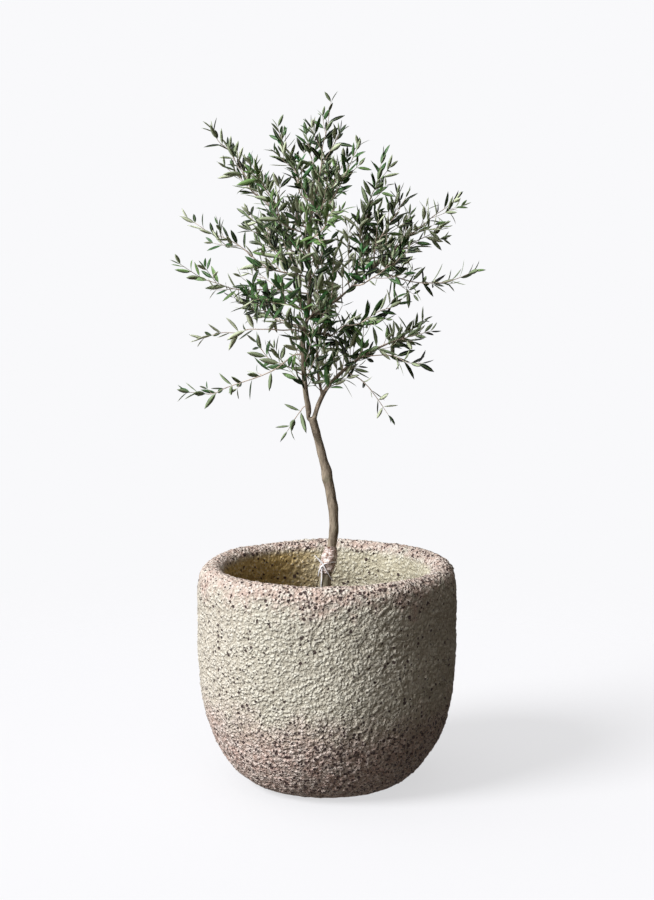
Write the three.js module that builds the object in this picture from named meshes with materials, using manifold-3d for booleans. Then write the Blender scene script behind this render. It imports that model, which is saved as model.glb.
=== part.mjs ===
// A young olive tree in a heavy rounded stoneware pot. Millimetres, +Z up.
// The origin is the centre of the pot's flat underside. The tree leans a little to -X
// and forks low into two limbs that carry an open, uneven crown.

import * as THREE from 'three';
import { mergeVertices } from 'three/addons/utils/BufferGeometryUtils.js';
import Module from 'manifold-3d';

const wasm = await Module();
wasm.setup();

// ------------------------------------------------------------- driving dimensions

const GAP = 0.3; // clear space kept between touching solids
const MASS_GAP = 0.6; // the same round a foliage mass, whose surface slopes

const POT = {
  height: 378,
  footRadius: 110,
  bellyRadius: 220,
  bellyHeight: 196,
  lipRadius: 218,
  lipRounding: 22,
  mouthRadius: 175,
  wall: 36, // at the belly
  floor: 35,
  wellRadius: 75, // of the flat inside the floor
  fullness: 1.85, // exponent of the lower curve, 2 being an ellipse
  segments: 36,
};

const SOIL = { surface: 283, edgeDrop: 5, levelRadius: 60 };

// Trunk: centre line from the soil to the fork, and radius by height.
const TRUNK = {
  route: [
    [-8, 0, 283.3], [-2, -2, 355], [11, -4, 428], [10, -4, 473], [0, 0, 529], [-13, 3, 582], [-26, 0, 632],
  ],
  girth: [
    [283.3, 11.5], [325, 9.8], [400, 8.2], [430, 7.8], [480, 8.6], [530, 8.6], [570, 7.6], [632, 7.2],
  ],
  flare: { reach: 30, spread: 9, lobes: 4, lobing: 0.22 },
  knots: [
    { height: 535, bearing: 0, size: 2.6, spread: 9 },
    { height: 524, bearing: 180, size: 1.8, spread: 8 },
    { height: 474, bearing: 10, size: 1.3, spread: 7 },
    { height: 448, bearing: -10, size: 1.2, spread: 7 },
  ],
  sides: 10,
  rings: 22,
};

// Grafting tape wound round the trunk above the rim of the pot.
const TAPE = { bottom: 352, top: 404, thickness: 1.4, flutter: 0.9, rings: 4, wave: [2.3, 1.7] };

// Limbs: a route, the radius at its two ends, and the masses it ends in.
const LIMBS = {
  leader_bough: {
    route: [[-26, 0, 620], [-36, -3, 672], [-40, -8, 750], [-39, -10, 800], [-30, 0, 870], [-28, 6, 945]],
    radii: [5.6, 2.6],
    endsIn: ['inner_crown_low', 'inner_crown_high'],
  },
  right_bough: {
    route: [[-24, 0, 620], [-14, 2, 652], [6, 5, 686], [32, 8, 710], [60, 12, 731], [95, 16, 750]],
    radii: [4.8, 2.2],
    endsIn: ['right_low_spray'],
  },
  inner_bough: {
    route: [[-8, 4, 664], [-15, 10, 700], [-17, 18, 745], [-12, 26, 800], [0, 35, 860]],
    radii: [2.8, 1.8],
    endsIn: ['inner_crown_low', 'inner_crown_foot', 'right_mid_spray', 'back_low_spray'],
  },
  high_bough: {
    route: [[-39, -10, 790], [-5, 0, 812], [21, 8, 829], [76, 16, 879], [120, 20, 915]],
    radii: [3.2, 1.8],
    endsIn: ['inner_crown_right', 'right_crest_spray', 'right_arm_spray'],
  },
};

// Foliage masses. Each is a shoot that leaves a limb part of the way along it (`at`),
// heads along a bearing (0 is +X, 90 is +Y) and ends `reach` out and `rise` up,
// sagging by `sag` half way. Leaves cover it from `start` to its tip, to a half-width
// of `girth`. A shoot with a bare foot has a stem of radius `stem`.
const MASS_FIELDS = ['limb', 'at', 'bearing', 'reach', 'rise', 'start', 'girth', 'sag', 'stem'];
const MASSES = {
  inner_crown_low: ['leader_bough', 0.5, 30, 42, 112, 0, 44],
  inner_crown_high: ['leader_bough', 0.8, 150, 22, 118, 0, 46],
  inner_crown_left: ['leader_bough', 0.74, 170, 112, 92, 0.25, 34],
  inner_crown_right: ['high_bough', 0.4, 12, 62, 118, 0.1, 36],
  inner_crown_foot: ['inner_bough', 0.3, 16, 100, 38, 0.05, 37],
  top_spray: ['leader_bough', 1, 6, 38, 224, 0.22, 27],
  top_left_spray: ['leader_bough', 0.97, 149, 68, 192, 0.25, 27],
  upper_left_spray: ['leader_bough', 0.85, 171, 173, 224, 0.3, 27, 8],
  left_crest_spray: ['leader_bough', 0.85, -157, 110, 169, 0.3, 25],
  left_shoulder_spray: ['leader_bough', 0.75, 167, 223, 104, 0.3, 27, 8],
  left_arm_spray: ['leader_bough', 0.74, -162, 233, 41, 0.2, 23, 34],
  left_mid_spray: ['leader_bough', 0.5, -176, 130, 57, 0.22, 24, 6, 2],
  left_hang_spray: ['leader_bough', 0.48, 164, 197, -25, 0.42, 18, -10, 1.6],
  left_low_spray: ['leader_bough', 0.38, 178, 213, -72, 0.24, 22, 22, 2],
  left_foot_spray: ['leader_bough', 0.25, 156, 99, 62, 0.26, 20, 10, 1.6],
  low_sprig: ['leader_bough', 0.1, -169, 42, -62, 0.3, 15, -8, 1.4],
  upright_spray: ['leader_bough', 0.93, -39, 111, 174, 0.28, 25],
  right_crest_spray: ['high_bough', 0.35, 2, 78, 250, 0.42, 25],
  right_upper_spray: ['high_bough', 0.5, -26, 106, 163, 0.3, 25],
  right_shoulder_spray: ['high_bough', 0.9, 1, 123, 100, 0.05, 27],
  right_high_spray: ['high_bough', 0.8, 24, 128, 56, 0.12, 25],
  right_arm_spray: ['high_bough', 0.72, -2, 184, 2, 0.05, 25, 26],
  right_mid_spray: ['inner_bough', 0.55, -25, 169, 70, 0.2, 27, 12],
  right_low_spray: ['right_bough', 0.8, -6, 128, 44, 0, 24, -6],
  right_outer_spray: ['right_bough', 0.84, -29, 118, -14, 0.3, 20],
  right_droop_spray: ['right_bough', 0.55, -15, 87, -86, 0.42, 15, -22, 1.4],
  front_top_spray: ['leader_bough', 0.9, -76, 190, 84, 0.3, 28],
  front_left_spray: ['leader_bough', 0.62, -118, 206, 34, 0.26, 27, 8],
  front_right_spray: ['high_bough', 0.4, -58, 206, 92, 0.26, 27, 6],
  back_top_spray: ['leader_bough', 0.92, 80, 158, 138, 0.3, 29],
  back_high_left_spray: ['leader_bough', 0.8, 122, 222, 84, 0.3, 29],
  back_high_right_spray: ['high_bough', 0.5, 56, 206, 92, 0.26, 29],
  back_low_spray: ['inner_bough', 0.72, 84, 186, 10, 0.1, 28, 8],
  back_left_spray: ['leader_bough', 0.52, 126, 208, 26, 0.28, 27, 10],
  back_right_spray: ['right_bough', 0.96, 62, 186, 34, 0.22, 26, 8],
};

// Shape that all the masses share. Each wave swells them by `size`, `around` times
// round, shifting by `along` from foot to tip and by `shift` from mass to mass.
const MASS_SHAPE = {
  around: 9,
  along: 8,
  blunt: 0.8,
  taper: 0.3,
  waves: [
    { size: 0.16, around: 2, along: 5, shift: 2.4 },
    { size: 0.09, around: 3, along: -8, shift: 1.3 },
  ],
};

// Round sections of the limbs: number of sides, and length of a step along them.
const LIMB_SHAPE = { sides: 6, step: 24, leastSteps: 3 };
const STEM_OVERLAP = 0.2; // share of a shoot that its stem runs into the mass before the cut
const STEM_TAPER = 0.7;

const COLOURS = {
  stoneware: 0xc9c7b4,
  soil: 0x4a3a2c,
  bark: 0x8a7b69,
  tape: 0xe6dcd6,
  leaves: 0x4f6b3c,
};

// ----------------------------------------------------------------------- solids

function toSolid(geometry) {
  geometry.deleteAttribute('normal');
  geometry.deleteAttribute('uv');
  const merged = mergeVertices(geometry, 1e-4);
  return new wasm.Manifold(new wasm.Mesh({
    numProp: 3,
    vertProperties: new Float32Array(merged.attributes.position.array),
    triVerts: new Uint32Array(merged.index.array),
  }));
}

function largestPiece(solid) {
  return solid.decompose().reduce((a, b) => (b.volume() > a.volume() ? b : a));
}

function toGeometry(solid) {
  const mesh = solid.getMesh();
  const geometry = new THREE.BufferGeometry();
  geometry.setAttribute('position', new THREE.BufferAttribute(new Float32Array(mesh.vertProperties), 3));
  geometry.setIndex(new THREE.BufferAttribute(new Uint32Array(mesh.triVerts), 1));
  return geometry;
}

// Closed skin through rings that all have the same number of points.
function skin(rings) {
  const count = rings[0].length;
  const centre = (ring) => ring.reduce((sum, p) => sum.add(p), new THREE.Vector3()).divideScalar(count);
  const points = [...rings.flat(), centre(rings[0]), centre(rings.at(-1))];
  const footCentre = rings.length * count;
  const index = [];
  for (let side = 0; side < count; side++) {
    const next = (side + 1) % count;
    for (let ring = 0; ring < rings.length - 1; ring++) {
      const a = ring * count;
      const b = a + count;
      index.push(a + side, a + next, b + next, a + side, b + next, b + side);
    }
    const last = (rings.length - 1) * count;
    index.push(footCentre, next, side, footCentre + 1, last + side, last + next);
  }
  const geometry = new THREE.BufferGeometry().setFromPoints(points);
  geometry.setIndex(index);
  return geometry;
}

const vector = (xyz) => new THREE.Vector3(...xyz);
const radians = (degrees) => THREE.MathUtils.degToRad(degrees);

// ------------------------------------------------------------------ pot and soil

// Quarter of a superellipse from a flat foot up to an upright wall.
function bowlCurve(footRadius, wallRadius, floorHeight, wallHeight, steps) {
  const power = 2 / POT.fullness;
  return Array.from({ length: steps + 1 }, (_, i) => {
    const turn = (i / steps) * Math.PI / 2;
    const out = i === steps ? 1 : Math.sin(turn) ** power;
    const up = i === steps ? 1 : 1 - Math.cos(turn) ** power;
    return new THREE.Vector2(
      footRadius + (wallRadius - footRadius) * out,
      floorHeight + (wallHeight - floorHeight) * up,
    );
  });
}

function lipArc(centreRadius, centreHeight, radius, fromDegrees, toDegrees, steps) {
  return Array.from({ length: steps + 1 }, (_, i) => {
    const turn = radians(fromDegrees + ((toDegrees - fromDegrees) * i) / steps);
    return new THREE.Vector2(centreRadius + radius * Math.cos(turn), centreHeight + radius * Math.sin(turn));
  });
}

const BOWL_STEPS = { outside: 8, inside: 5 };
const innerBelly = POT.bellyRadius - POT.wall;
const innerLipRounding = (POT.lipRadius - POT.lipRounding) - POT.mouthRadius;
const lipCentreHeight = POT.height - POT.lipRounding;

// Radius of the inside wall above the belly, closing in towards the mouth.
function innerWallRadius(height) {
  const rise = (height - POT.bellyHeight) / (lipCentreHeight - POT.bellyHeight);
  return innerBelly + (POT.mouthRadius - innerBelly) * rise * rise;
}

function lathe(profile) {
  const geometry = new THREE.LatheGeometry(profile, POT.segments);
  geometry.rotateX(Math.PI / 2);
  return geometry;
}

function potSolid() {
  const middle = (POT.bellyHeight + lipCentreHeight) / 2;
  const profile = [
    new THREE.Vector2(0, 0),
    ...bowlCurve(POT.footRadius, POT.bellyRadius, 0, POT.bellyHeight, BOWL_STEPS.outside),
    new THREE.Vector2(POT.bellyRadius + (POT.lipRadius - POT.bellyRadius) / 4, middle),
    ...lipArc(POT.lipRadius - POT.lipRounding, lipCentreHeight, POT.lipRounding, 0, 90, 4),
    ...lipArc(
      POT.mouthRadius + innerLipRounding, POT.height - innerLipRounding, innerLipRounding, 90, 180, 3,
    ).slice(1),
    new THREE.Vector2(innerWallRadius(middle), middle),
    ...bowlCurve(POT.wellRadius, innerBelly, POT.floor, POT.bellyHeight, BOWL_STEPS.inside).reverse(),
    new THREE.Vector2(0, POT.floor),
  ];
  return toSolid(lathe(profile));
}

function soilSolid() {
  const edgeHeight = SOIL.surface - SOIL.edgeDrop;
  const profile = [
    new THREE.Vector2(0, POT.floor + GAP),
    ...bowlCurve(POT.wellRadius - GAP, innerBelly - GAP, POT.floor + GAP, POT.bellyHeight, BOWL_STEPS.inside),
    new THREE.Vector2(innerWallRadius(edgeHeight) - 2 * GAP, edgeHeight),
    new THREE.Vector2(SOIL.levelRadius, SOIL.surface),
    new THREE.Vector2(0, SOIL.surface),
  ];
  return toSolid(lathe(profile));
}

// ----------------------------------------------------------------- trunk and tape

const trunkCurve = new THREE.CatmullRomCurve3(TRUNK.route.map(vector));
const trunkFoot = TRUNK.route[0][2];
const trunkFork = TRUNK.route.at(-1)[2];

function trunkRadius(height, bearing) {
  const above = TRUNK.girth.findIndex(([level]) => level >= height);
  const upper = TRUNK.girth[Math.max(above, 1)];
  const lower = TRUNK.girth[Math.max(above, 1) - 1];
  const mix = (height - lower[0]) / (upper[0] - lower[0]);
  let radius = lower[1] + (upper[1] - lower[1]) * mix;
  const { reach, spread, lobes, lobing } = TRUNK.flare;
  const flare = Math.exp(-(height - SOIL.surface) / reach);
  radius += spread * flare * (1 + lobing * Math.cos(lobes * bearing + 0.6));
  for (const knot of TRUNK.knots) {
    const turn = Math.max(0, Math.cos(bearing - radians(knot.bearing)));
    radius += knot.size * turn * Math.exp(-(((height - knot.height) / knot.spread) ** 2));
  }
  return radius;
}

// Level rings of the trunk between two heights, `extra(ring, side)` outside its bark.
function trunkRings(bottom, top, count, extra) {
  return Array.from({ length: count + 1 }, (_, i) => {
    const height = bottom + ((top - bottom) * i) / count;
    const inside = THREE.MathUtils.clamp(height, trunkFoot, trunkFork);
    const centre = trunkPoint(inside);
    return Array.from({ length: TRUNK.sides }, (__, side) => {
      const bearing = (side / TRUNK.sides) * 2 * Math.PI;
      const radius = trunkRadius(inside, bearing) + extra(i, side);
      return new THREE.Vector3(
        centre.x + radius * Math.cos(bearing), centre.y + radius * Math.sin(bearing), height,
      );
    });
  });
}

// Centre of the trunk at a height, found by bisection as the curve only rises.
function trunkPoint(height) {
  let low = 0;
  let high = 1;
  for (let step = 0; step < 40; step++) {
    const middle = (low + high) / 2;
    if (trunkCurve.getPoint(middle).z < height) low = middle;
    else high = middle;
  }
  return trunkCurve.getPoint((low + high) / 2);
}

function trunkSolid(extra) {
  return toSolid(skin(trunkRings(trunkFoot - extra, trunkFork + extra, TRUNK.rings, () => extra)));
}

function tapeSolid(bore) {
  const [ringWave, sideWave] = TAPE.wave;
  const flutter = (ring, side) => TAPE.thickness
    + TAPE.flutter * (0.5 + 0.5 * Math.sin(ringWave * ring + sideWave * side));
  return toSolid(skin(trunkRings(TAPE.bottom, TAPE.top, TAPE.rings, flutter))).subtract(bore);
}

// -------------------------------------------------------------------------- limbs

const limbCurves = Object.fromEntries(
  Object.entries(LIMBS).map(([name, limb]) => [name, new THREE.CatmullRomCurve3(limb.route.map(vector))]),
);

// Tapering limb of round section along a curve, up to a share of its length.
function limbSolid(curve, [footRadius, tipRadius], extra, length = 1) {
  const { sides, step, leastSteps } = LIMB_SHAPE;
  const steps = Math.max(leastSteps, Math.round((curve.getLength() * length) / step));
  const frames = curve.computeFrenetFrames(steps, false);
  const rings = Array.from({ length: steps + 1 }, (_, i) => {
    const along = (i / steps) * length;
    const centre = curve.getPointAt(along);
    const frame = Math.round(along * steps);
    const radius = footRadius + (tipRadius - footRadius) * along + extra;
    return Array.from({ length: sides }, (__, side) => {
      const turn = (side / sides) * 2 * Math.PI;
      return centre.clone()
        .addScaledVector(frames.normals[frame], radius * Math.cos(turn))
        .addScaledVector(frames.binormals[frame], radius * Math.sin(turn));
    });
  });
  return toSolid(skin(rings));
}

// ----------------------------------------------------------------- foliage masses

const masses = Object.fromEntries(Object.entries(MASSES).map(([name, values]) => [
  name, Object.fromEntries(MASS_FIELDS.map((field, column) => [field, values[column] ?? 0])),
]));

function shootCurve({ limb, at, bearing, reach, rise, sag }) {
  const foot = limbCurves[limb].getPointAt(at);
  const turn = radians(bearing);
  const tip = foot.clone().add(new THREE.Vector3(reach * Math.cos(turn), reach * Math.sin(turn), rise));
  const middle = foot.clone().lerp(tip, 0.5);
  middle.z -= 2 * sag; // a quadratic curve passes half way to its middle point
  return new THREE.QuadraticBezierCurve3(foot, middle, tip);
}

// Uneven closed lobe round a shoot, from where its leaves start to its tip.
function massSolid(mass, number, extra) {
  const curve = shootCurve(mass);
  const { around, along, blunt, taper, waves } = MASS_SHAPE;
  const overall = curve.getPoint(1).sub(curve.getPoint(mass.start)).normalize();
  const side = new THREE.Vector3().crossVectors(overall, new THREE.Vector3(0.3, 0.2, 1)).normalize();
  const up = new THREE.Vector3().crossVectors(side, overall);
  const geometry = new THREE.SphereGeometry(1, around, along);
  const position = geometry.attributes.position;
  for (let i = 0; i < position.count; i++) {
    const height = THREE.MathUtils.clamp(position.getY(i), -1, 1);
    const turn = Math.atan2(position.getZ(i), position.getX(i));
    const fromFoot = (1 + height) / 2;
    const centre = curve.getPoint(mass.start + (1 - mass.start) * fromFoot);
    const swell = waves.reduce((sum, wave) => sum
      + wave.size * Math.sin(wave.around * turn + wave.along * fromFoot + wave.shift * number), 1);
    const girth = mass.girth * (1 - taper * (fromFoot - 0.5)) * swell;
    const across = Math.max(0, 1 - height * height) ** (blunt / 2);
    const radius = across * (girth + extra);
    centre.addScaledVector(side, radius * Math.cos(turn));
    centre.addScaledVector(up, radius * Math.sin(turn));
    centre.addScaledVector(overall, extra * height);
    position.setXYZ(i, centre.x, centre.y, centre.z);
  }
  return toSolid(geometry);
}

// ------------------------------------------------------------------- the assembly

const tree = new THREE.Group();

function addNode(name, solid, colour, roughness) {
  const material = new THREE.MeshStandardMaterial({ color: colour, roughness, metalness: 0 });
  const mesh = new THREE.Mesh(toGeometry(largestPiece(solid)), material);
  mesh.name = name;
  tree.add(mesh);
}

addNode('pot', potSolid(), COLOURS.stoneware, 0.9);
addNode('soil', soilSolid(), COLOURS.soil, 1);
const trunkClear = trunkSolid(GAP);
addNode('trunk', trunkSolid(0), COLOURS.bark, 0.85);
addNode('graft_tape', tapeSolid(trunkClear), COLOURS.tape, 0.5);

// Every limb and bare stem: its solid, the same with clear space round it, and
// the masses it ends in.
const boughs = Object.entries(LIMBS).map(([name, { radii, endsIn }]) => ({
  name,
  endsIn,
  solid: limbSolid(limbCurves[name], radii, 0),
  clear: limbSolid(limbCurves[name], radii, GAP),
}));
for (const [name, mass] of Object.entries(masses)) {
  if (!mass.stem) continue;
  const curve = shootCurve(mass);
  const radii = [mass.stem, mass.stem * STEM_TAPER];
  boughs.push({
    name: name.replace(/_(spray|sprig)$/, '_stem'),
    endsIn: [name],
    solid: limbSolid(curve, radii, 0, mass.start + STEM_OVERLAP),
    clear: limbSolid(curve, radii, GAP, mass.start + STEM_OVERLAP),
  });
}

// A mass gives way to the trunk, to limbs that pass it and to masses before it.
const massClear = {};
Object.entries(masses).forEach(([name, mass], number) => {
  let solid = massSolid(mass, number, 0).subtract(trunkClear);
  for (const bough of boughs) {
    if (!bough.endsIn.includes(name)) solid = solid.subtract(bough.clear);
  }
  for (const earlier of Object.values(massClear)) solid = solid.subtract(earlier);
  massClear[name] = massSolid(mass, number, MASS_GAP);
  addNode(name, solid, COLOURS.leaves, 0.6);
});

// A bough starts clear of the trunk and of earlier boughs, and ends at its masses.
boughs.forEach((bough, number) => {
  let solid = bough.solid.subtract(trunkClear);
  for (const earlier of boughs.slice(0, number)) solid = solid.subtract(earlier.clear);
  for (const name of bough.endsIn) solid = solid.subtract(massClear[name]);
  addNode(bough.name, solid, COLOURS.bark, 0.8);
});

export default tree;
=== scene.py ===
"""Visual model of a potted olive tree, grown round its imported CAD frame. Metres, +Z up.

The pot, soil, limbs and grafting tape each get their own operator. The crown is grown
from the limbs by a seeded branching rule that follows the CAD's foliage masses.
"""

import math
import random

import bmesh
import bpy
import numpy as np
from mathutils import Matrix, Quaternion, Vector, noise
from mathutils.bvhtree import BVHTree


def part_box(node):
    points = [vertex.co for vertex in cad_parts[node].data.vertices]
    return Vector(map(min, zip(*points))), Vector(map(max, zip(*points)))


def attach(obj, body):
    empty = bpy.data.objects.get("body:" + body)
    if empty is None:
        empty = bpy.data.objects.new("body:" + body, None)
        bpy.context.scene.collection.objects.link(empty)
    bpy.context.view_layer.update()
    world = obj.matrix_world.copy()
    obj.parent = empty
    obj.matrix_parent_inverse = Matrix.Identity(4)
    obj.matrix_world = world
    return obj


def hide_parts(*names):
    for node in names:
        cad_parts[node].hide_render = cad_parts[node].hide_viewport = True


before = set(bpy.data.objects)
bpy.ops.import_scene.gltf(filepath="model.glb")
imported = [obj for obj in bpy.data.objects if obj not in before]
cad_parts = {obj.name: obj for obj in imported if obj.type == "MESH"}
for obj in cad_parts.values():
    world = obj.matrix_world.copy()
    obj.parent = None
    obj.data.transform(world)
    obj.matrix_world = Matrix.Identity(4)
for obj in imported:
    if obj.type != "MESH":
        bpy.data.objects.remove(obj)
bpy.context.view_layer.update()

bl_info = {
    "name": "Potted Olive Tree",
    "version": (1, 0, 0),
    "blender": (4, 5, 0),
    "location": "View3D > Sidebar > Olive",
    "description": "Builds the visual model of a potted olive tree round its CAD frame",
    "category": "Add Mesh",
}

MM = 0.001
MERGE = 1e-5
UP = Vector((0, 0, 1))
TURN = 2 * math.pi

NODES = sorted(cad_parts)
MASSES = [n for n in NODES if n.startswith("inner_crown") or n.endswith(("_spray", "_sprig"))]
STEMS = [n for n in NODES if n.endswith("_stem")]

# Each bough and the masses that it runs on through, hidden by their leaves.
BOUGHS = {
    "leader_bough": ["inner_crown_low", "inner_crown_high", "top_spray"],
    "right_bough": ["right_low_spray"],
    "inner_bough": ["inner_crown_foot"],
    "high_bough": ["right_shoulder_spray"],
}


# ------------------------------------------------------------------------ settings


def linear(code):
    """An sRGB hex colour such as "c9c7b4" as linear RGBA."""
    channels = [int(code[i : i + 2], 16) / 255 for i in (0, 2, 4)]
    return [c / 12.92 if c <= 0.04045 else ((c + 0.055) / 1.055) ** 2.4 for c in channels] + [1.0]


def as_colour(value):
    """Linear RGBA where the value is an sRGB hex string, and any other value as it is."""
    return linear(value) if isinstance(value, str) else value


def length_setting(name, default, description):
    """A length that the user may change."""
    return bpy.props.FloatProperty(
        name=name, description=description, default=default, min=0.0, precision=4, unit="LENGTH"
    )


def number_setting(name, default, description):
    """A plain number that the user may change."""
    return bpy.props.FloatProperty(name=name, description=description, default=default, min=0.0)


def count_setting(name, default, description):
    """A whole number that the user may change."""
    return bpy.props.IntProperty(name=name, description=description, default=default, min=0)


def angle_setting(name, degrees, description):
    """An angle that the user may change."""
    return bpy.props.FloatProperty(
        name=name, description=description, default=math.radians(degrees), subtype="ANGLE"
    )


def colour_setting(name, code, description):
    """A colour that the user may change."""
    return bpy.props.FloatVectorProperty(
        name=name, description=description, default=linear(code), size=4, min=0.0, max=1.0,
        subtype="COLOR",
    )


class PotSettings(bpy.types.PropertyGroup):
    """How the pot's surface is shaped and coloured."""

    steps: count_setting("Steps Round", 390, "Mesh steps round the pot")
    row: length_setting("Row", 0.0028, "Height of a mesh row where it shows")
    grain: length_setting("Grain", 0.0072, "Size of the lumps in the clay")
    relief: length_setting("Relief", 0.0026, "Height of the lumps")
    unevenness: length_setting("Unevenness", 0.0030, "Hand-made swelling of the wall")
    front_rise: length_setting("Front Rise", 0.0045, "How much higher the rim is at the front")
    slip: colour_setting("Slip", "e6e3d6", "The pale slip that is rubbed over the wall")
    # Partly a brown stain and partly painted warm shade, inside the mouth on the left.
    clay: colour_setting("Clay", "f0e0d8", "The bare clay at the foot and the rim")
    stain_and_shade: colour_setting("Stain", "d8b565", "The stain inside the mouth")
    pit: colour_setting("Pits", "34161a", "The pits in the clay")


class SoilSettings(bpy.types.PropertyGroup):
    """How the soil's surface is shaped and coloured."""

    seed: count_setting("Seed", 11, "Seed of the crumbs")
    crumbs: count_setting("Crumbs", 700, "Number of loose crumbs")
    relief: length_setting("Relief", 0.004, "Height of the surface's lumps")
    peat: colour_setting("Peat", "2a1f18", "The dark peat")
    fibres: colour_setting("Fibres", "54402f", "The paler fibres in the peat")


class LimbSettings(bpy.types.PropertyGroup):
    """How the trunk and boughs are meshed, roughened and coloured."""

    voxel: length_setting("Voxel", 0.0009, "Mesh size of the bark")
    wrinkle: length_setting("Wrinkle", 0.00035, "Height of the bark's fine relief")
    lump: length_setting("Lump", 0.0007, "Height of the bark's swellings")
    sink: length_setting("Sink", 0.004, "How far the trunk's foot stands in the soil")
    furrow: colour_setting("Furrows", "6a5e50", "The darker streaks of the bark")
    ridge: colour_setting("Ridges", "a39583", "The paler streaks of the bark")


class TapeSettings(bpy.types.PropertyGroup):
    """How the grafting tape is wound and coloured."""

    width: length_setting("Width", 0.013, "Width of the film")
    turns: number_setting("Turns", 7.0, "Turns round the trunk")
    film: length_setting("Film", 0.0004, "Thickness of the wound film")
    lift: length_setting("Lift", 0.006, "How far up the trunk the film has crept")
    tie_width: length_setting("Tie Width", 0.0017, "Width of the loose white tie")
    thin: colour_setting("Thin Film", "94705f", "The film where the bark shows through")
    milky: colour_setting("Milky Film", "e9dcd7", "The film where it lies several turns thick")


class CrownSettings(bpy.types.PropertyGroup):
    """The branching rule, the leaves and the colour of the shoots."""

    seed: count_setting("Seed", 7, "Seed of the whole crown")
    leaf_length: length_setting("Leaf Length", 0.036, "Length of a full-grown leaf")
    leaf_angle: angle_setting("Leaf Angle", 66, "Angle between a shoot's foot and its leaves")
    pair_gap: length_setting("Pair Gap", 0.0186, "Distance between leaf pairs on a shoot")
    twig_gap: length_setting("Twig Gap", 0.0285, "Distance between side twigs on a shoot")
    full_girth: length_setting("Full Girth", 0.030, "Masses of a smaller radius carry fewer twigs")
    foot_radius: length_setting("Foot Radius", 0.0014, "Radius of a long shoot at its foot")
    tip_radius: length_setting("Tip Radius", 0.00045, "Radius of a shoot at its tip")
    depth_reach: length_setting("Depth Reach", 0.058, "Added length of twigs to front and back")
    bough_gap: length_setting("Bough Gap", 0.0130, "Distance between short twigs on a bough")
    clear_height: length_setting("Clear Height", 0.662, "Height under which boughs are bare")
    # The almost black upper side is painted shade, for leaves deep in the crown; sprays get it at
    # random.
    upper_1: colour_setting("Deepest Leaves", "0e1a0e", "Upper side, almost black")
    upper_2: colour_setting("Deep Leaves", "22391f", "Upper side, deep green")
    upper_3: colour_setting("Green Leaves", "436b3c", "Upper side, middle green")
    upper_4: colour_setting("Pale Leaves", "7c9f60", "Upper side, pale yellowish green")
    upper_5: colour_setting("Fresh Leaves", "3a7840", "Upper side, strong green")
    under_1: colour_setting("Felted Undersides", "a3b08e", "Underside, grey-green")
    under_2: colour_setting("Pale Undersides", "c8d1b1", "Underside, palest")
    under_3: colour_setting("Dull Undersides", "839470", "Underside, darkest")
    midrib: colour_setting("Midribs", "6f8453", "Midribs, on the upper sides")
    shoot: colour_setting("Shoots", "a08d7f", "Young shoots")
    felt: colour_setting("Felt", "d0c0b2", "The pale felt on young shoots")


class StageSettings(bpy.types.PropertyGroup):
    """The floor, lights and camera."""

    sun: number_setting("Sun", 4.1, "Strength of the key light")
    sun_height: angle_setting("Sun Height", 37, "Height of the key light")
    sun_bearing: angle_setting("Sun Bearing", 211, "Side that the key light comes from")
    sun_softness: angle_setting("Sun Softness", 26, "Angular width of the key light")
    sky: number_setting("Sky", 1.0, "Strength of the soft light")
    shade: number_setting("Shade", 0.022, "Soft light from the dark side")
    lens: bpy.props.FloatProperty(
        name="Lens", description="Focal length", default=84.1, min=1.0, subtype="DISTANCE_CAMERA"
    )
    camera_distance: length_setting("Distance", 3.5, "From the tree to the camera")
    camera_height: length_setting("Camera Height", 1.155, "Height of the camera")
    camera_tilt: angle_setting("Camera Tilt", 9.45, "How far the camera looks down")
    backdrop: colour_setting("Backdrop", "f9f9fb", "The plain backdrop")
    floor: colour_setting("Floor", "e4e4e8", "The floor before its glow")


# ------------------------------------------------------------------ shader helpers


def add_node(tree, kind, inputs=None, output=0, **settings):
    """Adds a shader node and gives one output. Inputs are sockets, plain values or hex colours."""
    node = tree.nodes.new("ShaderNode" + kind)
    for name, value in settings.items():
        setattr(node, name, value)
    for name, value in (inputs or {}).items():
        if isinstance(value, bpy.types.NodeSocket):
            tree.links.new(value, node.inputs[name])
        else:
            node.inputs[name].default_value = as_colour(value)
    return node.outputs[output]


def at_size(vector, size_mm, **inputs):
    """Inputs of a texture whose pattern has a real size in millimetres."""
    return {"Vector": vector, "Scale": 1 / (size_mm * MM), **inputs}


def total(tree, *terms, start=0.0):
    """start plus the sum of the terms, each a value and its weight."""
    for value, weight in terms:
        start = add_node(tree, "Math", {0: value, 1: weight, 2: start}, operation="MULTIPLY_ADD")
    return start


def mask(tree, low, high, value, *noises):
    """0 where value is at low, 1 where it is at high. Noises, each with a reach, fray its edge."""
    if noises:
        value = total(tree, (value, 1.0), *noises, start=-sum(reach for _, reach in noises) / 2)
    inputs = {0: value, 1: low, 2: high}
    return add_node(tree, "MapRange", inputs, interpolation_type="SMOOTHSTEP")


def paint(tree, ground, *layers):
    """A ground colour with layers over it, each a cover, its strength and a colour."""
    for cover, strength, colour in layers:
        amount = cover if strength == 1 else total(tree, (cover, strength))
        ground = add_node(tree, "Mix", {0: amount, 6: ground, 7: colour}, 2, data_type="RGBA")
    return ground


def pits(tree, vector, size_mm, widest, share):
    """1 inside the round pits that a random share of cells hold. widest is their radius in cells."""
    distance = add_node(tree, "TexVoronoi", at_size(vector, size_mm))
    chances = {0: distance.node.outputs["Color"]}
    size_chance, pit_chance, _ = add_node(tree, "SeparateColor", chances).node.outputs
    depth = total(tree, (size_chance, widest / 1.5), (distance, -1.0), start=widest / 3)
    present = add_node(tree, "Math", {0: pit_chance, 1: share}, operation="LESS_THAN")
    return total(tree, (mask(tree, -0.02, 0.06, depth), present))


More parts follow.
